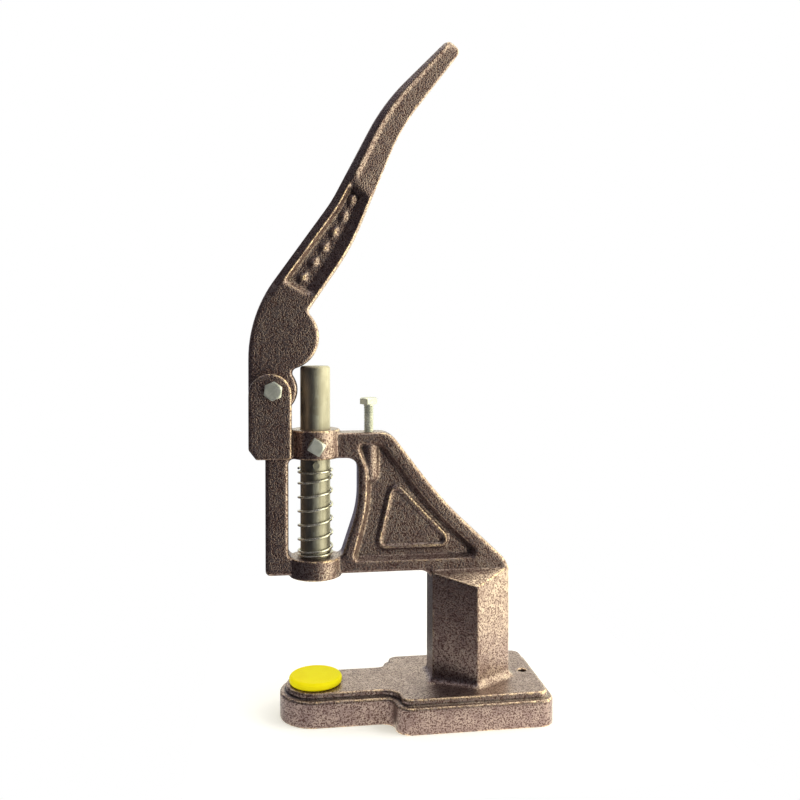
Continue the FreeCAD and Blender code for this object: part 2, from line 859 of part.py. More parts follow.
nodes = [
    frame_casting(),
    hand_lever(),
    pivot_bolt(),
    pivot_washer(),
    pivot_nut(),
    ram(),
    return_spring(),
    spring_pin(),
    ram_screw(),
    stop_bolt(),
    anvil_disc(),
]
doc.recompute()

for thing in doc.Objects:
    assert not {"Invalid", "Error"} & set(thing.State), f"{thing.Label}: {thing.State}"
for node in nodes:
    assert not node.Shape.isNull() and node.Shape.isValid(), f"{node.Label}: bad shape"
    assert len(node.Shape.Solids) == 1, f"{node.Label}: {len(node.Shape.Solids)} solids"

os.makedirs("parts", exist_ok=True)
for node in nodes:
    node.Shape.exportStep(f"parts/{node.Label}.step")
    box = node.Shape.BoundBox
    print(f"{node.Label}: {box.XLength:.1f} x {box.YLength:.1f} x {box.ZLength:.1f} mm, "
          f"{node.Shape.Volume / 1000:.2f} cm3")
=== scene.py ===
import json
import math

import bmesh
import bpy
import numpy as np
from mathutils import Matrix, Vector


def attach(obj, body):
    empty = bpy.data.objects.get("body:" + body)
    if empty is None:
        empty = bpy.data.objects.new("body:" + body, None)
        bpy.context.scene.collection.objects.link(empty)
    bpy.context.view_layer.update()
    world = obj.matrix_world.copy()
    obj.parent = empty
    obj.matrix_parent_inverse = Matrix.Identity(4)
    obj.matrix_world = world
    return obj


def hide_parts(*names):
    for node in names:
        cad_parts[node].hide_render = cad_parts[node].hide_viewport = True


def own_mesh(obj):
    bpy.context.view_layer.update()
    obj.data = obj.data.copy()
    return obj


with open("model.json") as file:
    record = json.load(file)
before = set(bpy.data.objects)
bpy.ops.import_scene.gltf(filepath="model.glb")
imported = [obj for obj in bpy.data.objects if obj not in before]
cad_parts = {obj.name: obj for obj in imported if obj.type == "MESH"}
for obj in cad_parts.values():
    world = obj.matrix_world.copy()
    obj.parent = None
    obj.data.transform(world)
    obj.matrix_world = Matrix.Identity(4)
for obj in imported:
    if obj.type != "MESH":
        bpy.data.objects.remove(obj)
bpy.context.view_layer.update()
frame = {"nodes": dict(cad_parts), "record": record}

scene = bpy.context.scene
nodes = frame["nodes"]
record = frame["record"]
mm = 0.001
weld = 1e-6  # points nearer than this become one
fullTurn = 2 * math.pi
white = (1, 1, 1, 1)


# places that several pieces share, in millimetres

jointRows = {row["name"]: row for row in record["behaviour"]["joints"]}
mountRows = {row["name"]: row for row in record["mounts"]}
pivotX, pivotY, pivotZ = (value / mm for value in jointRows["lever_swing"]["pos_m"])
benchX = mountRows["bench_screw_hole"]["pos_m"][0] / mm
benchRadius = mountRows["bench_screw_hole"]["dims"]["r_mm"]
stopX = 32.5
setScrewZ = 164.5
pivotBore = {"start": (pivotX, pivotY - 20, pivotZ), "end": (pivotX, pivotY + 20, pivotZ), "radius": 3.1}


# small helpers for node trees

def feed(tree, socket, value):
    if isinstance(value, bpy.types.NodeSocket):
        tree.links.new(value, socket)
    else:
        socket.default_value = value


def fill(tree, node, values):
    for key, value in values.items():
        feed(tree, node.inputs[key], value)


def addNode(tree, kind, values=None, **settings):
    made = tree.nodes.new(kind)
    for key, value in settings.items():
        setattr(made, key, value)
    fill(tree, made, values or {})
    return made


def calc(tree, operation, *terms, clamp=False):
    made = addNode(tree, "ShaderNodeMath", operation=operation, use_clamp=clamp)
    for socket, term in zip(made.inputs, terms):
        feed(tree, socket, term)
    return made.outputs[0]


def ramp(tree, value, low, high, start=0.0, end=1.0, smooth=True):
    made = addNode(tree, "ShaderNodeMapRange", {
        "Value": value, "From Min": low, "From Max": high, "To Min": start, "To Max": end})
    made.interpolation_type = "SMOOTHSTEP" if smooth else "LINEAR"
    return made.outputs["Result"]


def mixValue(tree, factor, first, second):
    return addNode(tree, "ShaderNodeMix", {"Factor": factor, "A": first, "B": second}).outputs[0]


def mixColor(tree, factor, first, second):
    # the colour sockets of a mix node are its inputs 6 and 7 and its output 2
    return addNode(tree, "ShaderNodeMix", {0: factor, 6: first, 7: second}, data_type="RGBA").outputs[2]


def noise(tree, vector, scale, detail=2.0, roughness=0.5, distortion=0.0):
    return addNode(tree, "ShaderNodeTexNoise", {
        "Vector": vector, "Scale": scale, "Detail": detail, "Roughness": roughness,
        "Distortion": distortion}).outputs["Fac"]


def addInputs(tree, inputs):
    for label, kind, value in inputs:
        socket = tree.interface.new_socket(label, in_out="INPUT", socket_type=kind)
        if value is not None:
            socket.default_value = value
    return tree.nodes.new("NodeGroupInput").outputs


def shaderGroup(name, inputs, outputs):
    tree = bpy.data.node_groups.new(name, "ShaderNodeTree")
    given = addInputs(tree, inputs)
    for label in outputs:
        tree.interface.new_socket(label, in_out="OUTPUT", socket_type="NodeSocketFloat")
    return tree, given, tree.nodes.new("NodeGroupOutput").inputs


def useGroup(tree, group, values):
    made = tree.nodes.new("ShaderNodeGroup")
    made.node_tree = group
    fill(tree, made, values)
    return made.outputs


def newMaterial(name):
    material = bpy.data.materials.new(name)
    material.use_nodes = True
    tree = material.node_tree
    surface = tree.nodes["Principled BSDF"]
    where = tree.nodes.new("ShaderNodeTexCoord").outputs["Object"]
    return material, tree, surface, where


def addBump(tree, surface, height, strength, distance):
    bump = addNode(tree, "ShaderNodeBump", {"Strength": strength, "Distance": distance, "Height": height})
    tree.links.new(bump.outputs["Normal"], surface.inputs["Normal"])


# effects shared by several finishes

dimples = {"distortion": 0.5, "rimLow": 0.04, "rimHigh": 0.05, "cloudScale": 0.16,
           "cloud": (0.32, 0.68), "height": (0.3, 0.62)}


def makeHammerGroup():
    # dimples where the paint has pulled back and shows dark
    tree, given, wanted = shaderGroup("hammerDimples", [
        ("Vector", "NodeSocketVector", None), ("Scale", "NodeSocketFloat", 420.0),
        ("Cover", "NodeSocketFloat", 0.47)], ["Ground", "Cloud", "Height"])
    spots = noise(tree, given["Vector"], given["Scale"], distortion=dimples["distortion"])
    broadScale = calc(tree, "MULTIPLY", given["Scale"], dimples["cloudScale"])
    broad = noise(tree, given["Vector"], broadScale)
    low = calc(tree, "SUBTRACT", given["Cover"], dimples["rimLow"])
    high = calc(tree, "ADD", given["Cover"], dimples["rimHigh"])
    tree.links.new(ramp(tree, spots, low, high), wanted["Ground"])
    tree.links.new(ramp(tree, broad, *dimples["cloud"]), wanted["Cloud"])
    tree.links.new(ramp(tree, spots, *dimples["height"]), wanted["Height"])
    return tree


# pointiness thresholds for worn edges with a painted highlight on convex ridges, and for painted shade in
# hollows
wearHighlightShade = {"low": 0.512, "high": 0.538, "patchScale": 260.0, "patchDetail": 3.0, "patch": (0.36, 0.62),
        "hollowShade": (0.494, 0.468)}


def makeEdgeGroup():
    # worn ridges with a painted highlight where the surface is convex, painted shade where it is hollow
    tree, given, wanted = shaderGroup("edgeWearHighlightShade", [
        ("Vector", "NodeSocketVector", None), ("Low", "NodeSocketFloat", wearHighlightShade["low"]),
        ("High", "NodeSocketFloat", wearHighlightShade["high"])], ["Worn", "HollowShade"])
    shape = addNode(tree, "ShaderNodeNewGeometry").outputs["Pointiness"]
    patch = noise(tree, given["Vector"], wearHighlightShade["patchScale"], wearHighlightShade["patchDetail"])
    ridges = ramp(tree, shape, given["Low"], given["High"])
    tree.links.new(calc(tree, "MULTIPLY", ridges, ramp(tree, patch, *wearHighlightShade["patch"])), wanted["Worn"])
    tree.links.new(ramp(tree, shape, *wearHighlightShade["hollowShade"]), wanted["HollowShade"])
    return tree


drawing = {"detail": 3.0, "roughness": 0.6, "marks": (0.35, 0.65), "stainScale": 130.0,
           "stainDetail": 4.0, "stain": (0.4, 0.65)}


def makeMarkGroup():
    # drawing marks that run along Z, with a few stains
    tree, given, wanted = shaderGroup("drawMarks", [
        ("Vector", "NodeSocketVector", None), ("Scale", "NodeSocketFloat", 900.0),
        ("Stretch", "NodeSocketFloat", 0.06)], ["Marks", "Stain"])
    stretch = addNode(tree, "ShaderNodeCombineXYZ", {"X": 1.0, "Y": 1.0, "Z": given["Stretch"]}).outputs[0]
    along = addNode(tree, "ShaderNodeVectorMath", {0: given["Vector"], 1: stretch}, operation="MULTIPLY")
    marks = noise(tree, along.outputs[0], given["Scale"], drawing["detail"], drawing["roughness"])
    stain = noise(tree, given["Vector"], drawing["stainScale"], drawing["stainDetail"])
    tree.links.new(ramp(tree, marks, *drawing["marks"]), wanted["Marks"])
    tree.links.new(ramp(tree, stain, *drawing["stain"]), wanted["Stain"])
    return tree


hammerDimples = makeHammerGroup()
edgeWearHighlightShade = makeEdgeGroup()
drawMarks = makeMarkGroup()


# finishes

# the hammertone's colours, with an edge colour for worn edges and painted highlight, and a near black for
# painted shade in hollows
hammerPaint = {
    "ground": (0.255, 0.182, 0.172, 1), "groundPale": (0.368, 0.28, 0.252, 1),
    "dimple": (0.106, 0.059, 0.055, 1), "wornAndHighlight": (0.84, 0.61, 0.39, 1), "hollowShade": (0.035, 0.024, 0.02, 1),
    "spotScale": 1080.0, "cover": 0.47, "hollowShadeShare": 0.75, "speckle": (0.25, 0.85),
    "rough": (0.42, 0.29), "metallic": 0.93, "coat": 0.15, "coatRough": 0.12,
    "bump": 0.55, "bumpDepth": 0.2,
}


def hammertone(name, paint):
    material, tree, surface, where = newMaterial(name)
    spots = useGroup(tree, hammerDimples, {
        "Vector": where, "Scale": paint["spotScale"], "Cover": paint["cover"]})
    edges = useGroup(tree, edgeWearHighlightShade, {"Vector": where})
    ground = mixColor(tree, spots["Cloud"], paint["ground"], paint["groundPale"])
    color = mixColor(tree, spots["Ground"], paint["dimple"], ground)
    # painted shade in the hollows, darker where the surface is concave
    color = mixColor(tree, calc(tree, "MULTIPLY", edges["HollowShade"], paint["hollowShadeShare"]), color, paint["hollowShade"])
    speckled = ramp(tree, spots["Ground"], 0.0, 1.0, *paint["speckle"])
    # worn edges and a painted highlight on convex ridges, kept mostly off the dimples
    color = mixColor(tree, calc(tree, "MULTIPLY", edges["Worn"], speckled), color, paint["wornAndHighlight"])
    fill(tree, surface, {
        "Base Color": color, "Roughness": ramp(tree, spots["Ground"], 0.0, 1.0, *paint["rough"]),
        "Metallic": paint["metallic"], "Coat Weight": paint["coat"], "Coat Roughness": paint["coatRough"]})
    addBump(tree, surface, spots["Height"], paint["bump"], paint["bumpDepth"] * mm)
    return material


# worn edges and a painted highlight on the convex ridges of the bright metals
metalWearAndHighlight = {"low": 0.57, "high": 0.66, "wornAndHighlight": (0.8, 0.78, 0.72, 1), "wornAndHighlightShare": 0.5, "markShare": 0.25,
             "bump": 0.12, "bumpDepth": 0.04}
brightMetal = {
    "zinc": {
        "clean": (0.60, 0.60, 0.52, 1), "dull": (0.43, 0.435, 0.37, 1), "scale": 1400.0, "stretch": 1.0,
        "rough": (0.30, 0.45), "metallic": 0.6},
    "ramSteel": {
        "clean": (0.335, 0.308, 0.26, 1), "dull": (0.28, 0.255, 0.21, 1), "scale": 1100.0, "stretch": 0.05,
        "rough": (0.50, 0.58), "metallic": 1.0},
    "springWire": {
        "clean": (0.72, 0.69, 0.60, 1), "dull": (0.45, 0.42, 0.34, 1), "scale": 1500.0, "stretch": 1.0,
        "rough": (0.18, 0.34), "metallic": 0.9},
}


def metalFinish(name, look):
    material, tree, surface, where = newMaterial(name)
    marks = useGroup(tree, drawMarks, {"Vector": where, "Scale": look["scale"], "Stretch": look["stretch"]})
    edges = useGroup(tree, edgeWearHighlightShade, {"Vector": where, "Low": metalWearAndHighlight["low"], "High": metalWearAndHighlight["high"]})
    marked = calc(tree, "MULTIPLY", marks["Marks"], metalWearAndHighlight["markShare"])
    # worn edges and a painted highlight where the surface is convex
    wornAndHighlight = calc(tree, "MULTIPLY", edges["Worn"], metalWearAndHighlight["wornAndHighlightShare"])
    color = mixColor(tree, marks["Stain"], look["clean"], look["dull"])
    color = mixColor(tree, marked, color, look["dull"])
    fill(tree, surface, {
        "Base Color": mixColor(tree, wornAndHighlight, color, metalWearAndHighlight["wornAndHighlight"]),
        "Roughness": ramp(tree, marks["Marks"], 0.0, 1.0, *look["rough"]), "Metallic": look["metallic"]})
    addBump(tree, surface, marks["Marks"], metalWearAndHighlight["bump"], metalWearAndHighlight["bumpDepth"] * mm)
    return material


yellowDisc = {
    "clean": (1.0, 0.87, 0.01, 1), "deep": (0.96, 0.79, 0.005, 1), "flowScale": 70.0, "flowDetail": 3.0,
    "flow": (0.35, 0.7), "grainScale": 2600.0, "rough": (0.3, 0.7, 0.22, 0.34), "specular": 0.015,
    "depth": 0.08, "depthRadius": (0.004, 0.003, 0.001), "bump": 0.05, "bumpDepth": 0.05,
}


def yellowPlastic(look):
    material, tree, surface, where = newMaterial("yellowPlastic")
    flow = noise(tree, where, look["flowScale"], look["flowDetail"])
    grain = noise(tree, where, look["grainScale"])
    fill(tree, surface, {
        "Base Color": mixColor(tree, ramp(tree, flow, *look["flow"]), look["clean"], look["deep"]),
        "Roughness": ramp(tree, grain, *look["rough"]), "Specular IOR Level": look["specular"],
        "Subsurface Weight": look["depth"], "Subsurface Radius": look["depthRadius"]})
    addBump(tree, surface, grain, look["bump"], look["bumpDepth"] * mm)
    return material


finishes = {
    "hammertone_frame": hammertone("frameHammertone", hammerPaint),
    "hammertone_lever": hammertone("leverHammertone", hammerPaint),
    "zinc_plated": metalFinish("zincPlate", brightMetal["zinc"]),
    "ram_steel": metalFinish("ramSteel", brightMetal["ramSteel"]),
    "spring_wire": metalFinish("springWire", brightMetal["springWire"]),
    "yellow_plastic": yellowPlastic(yellowDisc),
}
print("finishes ready:", len(finishes))

for row in record["subparts"]:
    node = nodes[row["node"]]
    node.data.materials.clear()
    node.data.materials.append(finishes[row["material_slot"]])


# small helpers for pieces

def newPiece(name, mesh, slot, body, replaced):
    mesh.materials.clear()
    mesh.materials.append(finishes[slot])
    for face in mesh.polygons:
        face.use_smooth = True
    piece = bpy.data.objects.new(name, mesh)
    scene.collection.objects.link(piece)
    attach(piece, body)
    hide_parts(replaced)
    return piece


def ringFaces(rows, size):
    # four-sided faces between rings of points that follow one another
    faces = []
    for row in range(rows - 1):
        here, above = row * size, (row + 1) * size
        for spot in range(size):
            ahead = (spot + 1) % size
            faces.append((here + spot, here + ahead, above + ahead, above + spot))
    return faces


def meshFrom(name, points, faces):
    mesh = bpy.data.meshes.new(name)
    mesh.from_pydata([tuple(point) for point in points], [], faces)
    bm = bmesh.new()
    bm.from_mesh(mesh)
    bmesh.ops.remove_doubles(bm, verts=bm.verts, dist=weld)
    bmesh.ops.recalc_face_normals(bm, faces=bm.faces)
    bm.to_mesh(mesh)
    bm.free()
    return mesh


def copyOf(node):
    # a CAD mesh is loose triangles, so its copy is merged first
    bm = bmesh.new()
    bm.from_mesh(node.data)
    bmesh.ops.remove_doubles(bm, verts=bm.verts, dist=weld)
    mesh = bpy.data.meshes.new(node.name + "Copy")
    bm.to_mesh(mesh)
    bm.free()
    return mesh


def joined(meshes, name):
    bm = bmesh.new()
    for mesh in meshes:
        bm.from_mesh(mesh)
    whole = bpy.data.meshes.new(name)
    bm.to_mesh(whole)
    bm.free()
    return whole


def workObject(mesh):
    work = bpy.data.objects.new("work", mesh)
    scene.collection.objects.link(work)
    return work


def evaluated(work):
    # plain mesh of an object with its modifiers; the object goes
    bpy.context.view_layer.update()
    shown = work.evaluated_get(bpy.context.evaluated_depsgraph_get())
    mesh = bpy.data.meshes.new_from_object(shown)
    bpy.data.objects.remove(work)
    return mesh


def rod(start, end, radius, sides=64, cuts=0):
    # closed cylinder between two points in millimetres, with cuts along it
    start, end = Vector(start) * mm, Vector(end) * mm
    length = (end - start).length
    turn = (end - start).to_track_quat("Z", "Y").to_matrix().to_4x4()
    bm = bmesh.new()
    bmesh.ops.create_cone(bm, cap_ends=True, segments=sides, radius1=radius * mm, radius2=radius * mm,
                          depth=length, matrix=Matrix.Translation((start + end) / 2) @ turn)
    if cuts:
        lengthwise = [edge for edge in bm.edges if edge.calc_length() > 0.9 * length]
        bmesh.ops.subdivide_edges(bm, edges=lengthwise, cuts=cuts, use_grid_fill=True)
    mesh = bpy.data.meshes.new("rod")
    bm.to_mesh(mesh)
    bm.free()
    return mesh


def drilled(mesh, bores):
    tool = workObject(joined([rod(**bore) for bore in bores], "cutters"))
    work = workObject(mesh)
    cut = work.modifiers.new("drill", "BOOLEAN")
    cut.operation, cut.solver, cut.object = "DIFFERENCE", "EXACT", tool
    result = evaluated(work)
    bpy.data.objects.remove(tool)
    return result


def shapeTree(name, inputs):
    tree = bpy.data.node_groups.new(name, "GeometryNodeTree")
    given = addInputs(tree, inputs)
    tree.interface.new_socket("Geometry", in_out="OUTPUT", socket_type="NodeSocketGeometry")
    return tree, given


def endTree(tree, geometry, material):
    whole = addNode(tree, "GeometryNodeRealizeInstances", {"Geometry": geometry})
    painted = addNode(tree, "GeometryNodeSetMaterial", {"Geometry": whole.outputs[0], "Material": material})
    end = tree.nodes.new("NodeGroupOutput")
    tree.links.new(painted.outputs[0], end.inputs[0])


def runTree(tree, values, base=None):
    work = base or workObject(bpy.data.meshes.new("seed"))
    modifier = work.modifiers.new("shape", "NODES")
    modifier.node_group = tree
    for item in tree.interface.items_tree:
        if item.in_out == "INPUT" and item.name in values:
            modifier[item.identifier] = values[item.name]
    return evaluated(work)


def aroundAxis(tree, angle, radius, height):
    return addNode(tree, "ShaderNodeCombineXYZ", {
        "X": calc(tree, "MULTIPLY", calc(tree, "COSINE", angle), radius),
        "Y": calc(tree, "MULTIPLY", calc(tree, "SINE", angle), radius), "Z": height}).outputs[0]


# frame casting

castFrame = {
    "voxel": 0.62, "softness": 0.5, "smoothing": 4, "triangles": 186000,
    "ornament": [(37.5, 101.0), (85.0, 101.0), (47.0, 141.0)], "ornamentFloor": 3.4,
    "ornamentCorner": 4.0, "cornerSteps": 8, "beadWidth": 1.5, "beadSteps": 160, "beadSides": 12,
    "bores": [
        {"start": (0, 0, 82), "end": (0, 0, 176), "radius": 9.1, "sides": 96},  # ram
        pivotBore,
        {"start": (stopX, 0, 145.3), "end": (stopX, 0, 180), "radius": 3.08},  # stop bolt
        {"start": (0, -20, setScrewZ), "end": (0, -8.5, setScrewZ), "radius": 4.06},  # set screw
        {"start": (0, 0, 8.2), "end": (0, 0, 30), "radius": 5.06},  # the disc's spigot
        {"start": (benchX, 0, -5), "end": (benchX, 0, 30), "radius": benchRadius, "sides": 24, "cuts": 89},
    ],
}


def makeBeadTree():
    # raised bead along a curve
    tree, given = shapeTree("castBead", [
        ("Path", "NodeSocketGeometry", None), ("Corner", "NodeSocketFloat", 0.004),
        ("Width", "NodeSocketFloat", 0.0012), ("Material", "NodeSocketMaterial", None)])
    soft = addNode(tree, "GeometryNodeFilletCurve", {
        "Curve": given["Path"], "Radius": given["Corner"]}, mode="POLY")
    soft.inputs["Count"].default_value = castFrame["cornerSteps"]
    even = addNode(tree, "GeometryNodeResampleCurve", {
        "Curve": soft.outputs[0], "Count": castFrame["beadSteps"]})
    ring = addNode(tree, "GeometryNodeCurvePrimitiveCircle", {
        "Resolution": castFrame["beadSides"], "Radius": given["Width"]})
    tube = addNode(tree, "GeometryNodeCurveToMesh", {
        "Curve": even.outputs[0], "Profile Curve": ring.outputs[0]})
    endTree(tree, tube.outputs[0], given["Material"])
    return tree


castBead = makeBeadTree()


def beadMesh(side):
    path = bpy.data.curves.new("beadPath", "CURVE")
    path.dimensions = "3D"
    spline = path.splines.new("POLY")
    spline.points.add(len(castFrame["ornament"]) - 1)
    for point, (x, z) in zip(spline.points, castFrame["ornament"]):
        point.co = (x * mm, side * castFrame["ornamentFloor"] * mm, z * mm, 1.0)
    spline.use_cyclic_u = True
    return runTree(castBead, {
        "Corner": castFrame["ornamentCorner"] * mm, "Width": castFrame["beadWidth"] * mm,
        "Material": finishes["hammertone_frame"]}, workObject(path))


def makeFrame():
    work = workObject(joined([copyOf(nodes["frame_casting"]), beadMesh(1), beadMesh(-1)], "frameRaw"))
    skin = work.modifiers.new("skin", "REMESH")
    skin.mode, skin.voxel_size = "VOXEL", castFrame["voxel"] * mm
    soften = work.modifiers.new("soften", "SMOOTH")
    soften.factor, soften.iterations = castFrame["softness"], castFrame["smoothing"]
    cast = evaluated(work)
    work = workObject(cast)
    thin = work.modifiers.new("thin", "DECIMATE")
    thin.ratio = min(1.0, castFrame["triangles"] / (2 * len(cast.polygons)))
    cast = drilled(evaluated(work), castFrame["bores"])  # the skin has softened the bores
    return newPiece("frameCasting", cast, "hammertone_frame", "frame", "frame_casting")


frameCasting = makeFrame()
print("frame casting:", len(frameCasting.data.polygons), "faces")


# hand lever: sections between its two edges

handLever = {
    "half": 7.7, "edgeRound": 2.2, "rows": 0.9, "across": 64, "hub": 14.5, "smoothing": 2,
    "anchors": [
        ((-39.7, 197.5), (-10.7, 197.5)), ((-39.7, 213.0), (-9.5, 210.5)), ((-39.7, 232.0), (2.2, 228.8)),
        ((-36.5, 248.0), (-3.2, 242.5)), ((-25.0, 262.0), (-1.0, 249.0)), ((18.5, 326.0), (34.2, 312.0)),
        ((42.6, 372.0), (53.0, 357.0))],
    "neck": 4, "shank": 5, "grip": 6, "tip": 8,  # marks along the lever: foot, anchors, tip
    "leftRim": [(0, 3.8), (4.2, 7.5), (4.9, 7.5), (7.2, 3.9)],
    "rightRim": [(0, 5.0), (1.2, 7.6), (2.2, 7.6), (8.0, 3.9)],
    "leftSlope": [(0, 3.8), (4.2, 7.6)], "rightSlope": [(0, 5.0), (1.2, 7.6)],
    "neckEase": 3.0, "recessIn": 2.0, "recessOut": 1.0, "recessEase": 4.0,
    "studs": 6, "studGap": 11.0, "studLong": 4.2, "studWide": 3.2, "studHigh": 1.5, "studShift": 0.8,
    "studSteep": 2.2,
    "ridgeAt": 0.24, "ridgeHigh": 8.8, "ridgeTip": 7.0, "gripLeft": 3.6, "gripRight": 6.7,
    "gripTaper": 0.1, "gripRound": 1.0, "gripLead": 1.5, "gripEase": 7.0,
    "gripRise": [(0, 0), (0.2, 0.95), (0.24, 1)], "gripFall": [(0.24, 0), (0.4, 0.55), (1, 1)],
    "tipRound": 7.0, "tipFall": 0.8, "tipLeast": 0.05,
}


def leverLoop():
    # the lever's outline in its plane of symmetry, in millimetres
    bm = bmesh.new()
    bm.from_mesh(nodes["hand_lever"].data)
    bmesh.ops.remove_doubles(bm, verts=bm.verts, dist=weld)
    cut = bmesh.ops.bisect_plane(bm, geom=bm.verts[:] + bm.edges[:] + bm.faces[:], dist=0.1 * weld,
                                 plane_co=(0, 0, 0), plane_no=(0, 1, 0))["geom_cut"]
    beside = {}
    for edge in cut:
        if isinstance(edge, bmesh.types.BMEdge):
            first, second = edge.verts
            beside.setdefault(first, []).append(second)
            beside.setdefault(second, []).append(first)
    loops = []
    left = set(beside)
    while left:
        here = min(left, key=lambda vert: (round(vert.co.x, 6), round(vert.co.z, 6)))
        chain = []
        while here:
            chain.append(here)
            left.discard(here)
            here = next((vert for vert in beside[here] if vert in left), None)
        loops.append(np.array([(vert.co.x, vert.co.z) for vert in chain]) / mm)
    bm.free()
    return max(loops, key=lambda loop: np.ptp(loop[:, 1]))


def lengthsOf(points):
    return np.concatenate([[0.0], np.cumsum(np.linalg.norm(np.diff(points, axis=0), axis=1))])


def nearestLength(points, lengths, target):
    # distance along a polyline to the point on it that is nearest to target
    best = (math.inf, 0.0)
    for first, second, start in zip(points, points[1:], lengths):
        span = second - first
        share = np.clip(np.dot(target - first, span) / max(np.dot(span, span), weld * weld), 0, 1)
        gap = np.linalg.norm(first + span * share - target)
        best = min(best, (gap, start + share * np.linalg.norm(span)))
    return best[1]


def pairedEdges():
    # rows of points on the lever's two edges, matched at the anchors
    loop = leverLoop()
    pivot = np.array([pivotX, pivotZ])
    foot = int(np.argmin(np.linalg.norm(loop - (pivot - (0, handLever["hub"])), axis=1)))
    loop = np.roll(loop, -foot, axis=0)
    tip = int(np.argmax(np.linalg.norm(loop - pivot, axis=1)))
    sides = [loop[:tip + 1], np.vstack([loop[tip:], loop[:1]])[::-1]]
    sides.sort(key=lambda side: side[:len(side) // 3, 0].mean())
    marks = []
    for number, side in enumerate(sides):
        lengths = lengthsOf(side)
        found = [nearestLength(side, lengths, np.array(pair[number])) for pair in handLever["anchors"]]
        marks.append([0.0] + found + [lengths[-1]])
    rows = []
    for part in range(len(marks[0]) - 1):
        longest = max(mark[part + 1] - mark[part] for mark in marks)
        count = max(math.ceil(longest / handLever["rows"]), 2)
        rows += [part + step / count for step in range(count)]
    rows = np.array(rows + [len(marks[0]) - 1.0])
    edges = []
    for side, mark in zip(sides, marks):
        at = np.interp(rows, range(len(mark)), mark)
        lengths = lengthsOf(side)
        edges.append(np.column_stack([np.interp(at, lengths, side[:, axis]) for axis in (0, 1)]))
    return rows, edges[0], edges[1]


def softStep(value):
    value = np.clip(value, 0, 1)
    return value * value * (3 - 2 * value)


def profile(distance, points):
    return np.interp(distance, *zip(*points))


def leverHeights(run, marks, width, share):
    # half thickness of the lever, by rows along it and places across it
    look = handLever
    neckAt, shankAt, gripAt, tipAt = (marks[look[name]] for name in ("neck", "shank", "grip", "tip"))
    fromLeft, fromRight = share * width, (1 - share) * width
    nearEdge = np.minimum(fromLeft, fromRight)

    def rounded(height, radius):
        short = radius - np.minimum(nearEdge, radius)
        return height - radius + np.sqrt(np.maximum(radius * radius - short * short, 0))

    # recessed shank with its studs
    begin, end = shankAt + look["recessIn"], gripAt - look["recessOut"]
    shank = np.maximum(profile(fromLeft, look["leftRim"]), profile(fromRight, look["rightRim"]))
    offMiddle = np.abs(fromLeft - 0.5 * (width - look["studShift"])) / look["studWide"]
    for number in range(look["studs"]):
        at = (begin + end) / 2 + (number - (look["studs"] - 1) / 2) * look["studGap"]
        lozenge = 1 - np.abs(run - at) / look["studLong"] - offMiddle
        shank = shank + look["studHigh"] * softStep(lozenge * look["studSteep"])
    solid = np.minimum(profile(fromLeft, look["leftSlope"]), profile(fromRight, look["rightSlope"]))
    recess = softStep((run - begin) / look["recessEase"]) * softStep((end - run) / look["recessEase"])
    shank = solid + (shank - solid) * recess

    # flat hub and lobe, then the shank
    flat = rounded(look["half"], look["edgeRound"])
    high = flat + (shank - flat) * softStep((run - neckAt) / (shankAt - neckAt + look["neckEase"]))

    # ridged grip with a rounded tip
    along = np.clip((run - gripAt) / (tipAt - gripAt), 0, 1)
    ridge = look["ridgeHigh"] + (look["ridgeTip"] - look["ridgeHigh"]) * along
    lowSide = look["gripRight"] * (1 - look["gripTaper"] * along)
    rise = look["gripLeft"] + (ridge - look["gripLeft"]) * profile(share, look["gripRise"])
    fall = ridge + (lowSide - ridge) * profile(share, look["gripFall"])
    grip = rounded(np.where(share < look["ridgeAt"], rise, fall), look["gripRound"])
    high = high + (grip - high) * softStep((run - gripAt + look["gripLead"]) / look["gripEase"])
    late = np.clip((run - tipAt + look["tipRound"]) / look["tipRound"], 0, 1)
    high = high * np.sqrt(np.maximum(1 - look["tipFall"] * late * late, look["tipLeast"]))
    for _ in range(look["smoothing"]):
        high[1:-1] = (high[:-2] + 2 * high[1:-1] + high[2:]) / 4
        high[:, 1:-1] = (high[:, :-2] + 2 * high[:, 1:-1] + high[:, 2:]) / 4
    return high


def makeLever():
    rows, left, right = pairedEdges()
    run = lengthsOf((left + right) / 2)[:, None]
    marks = np.interp(range(int(rows[-1]) + 1), rows, run[:, 0])
    width = np.linalg.norm(right - left, axis=1)[:, None]
    even = np.linspace(0, 1, handLever["across"])
    share = (0.5 * even + 0.5 * (0.5 - 0.5 * np.cos(math.pi * even)))[None, :]  # closer at the edges
    high = leverHeights(run, marks, width, share)
    spots = left[:, None, :] + (right - left)[:, None, :] * share[..., None]
    front = np.stack([spots[..., 0], -high, spots[..., 1]], axis=-1)
    back = np.stack([spots[..., 0], high, spots[..., 1]], axis=-1)[:, ::-1]
    rings = np.concatenate([front, back], axis=1) * mm
    mesh = meshFrom("handLever", rings.reshape(-1, 3), ringFaces(*rings.shape[:2]))
    mesh = drilled(mesh, [pivotBore])
    return newPiece("handLever", mesh, "hammertone_lever", "lever", "hand_lever")


lever = makeLever()
print("hand lever:", len(lever.data.polygons), "faces")


# return spring: a closed turn at each end, half a turn in which the pitch opens, then an even pitch

coil = {"turns": 8.0, "stepsPerTurn": 72, "startTurn": 0.5, "endTurn": 1.0, "easeTurn": 0.5, "radius": 10.1,
        "wire": 0.7, "wireSides": 14, "foot": 97.5, "top": 149.6, "closedPitch": 2.2, "keep": 0.455}


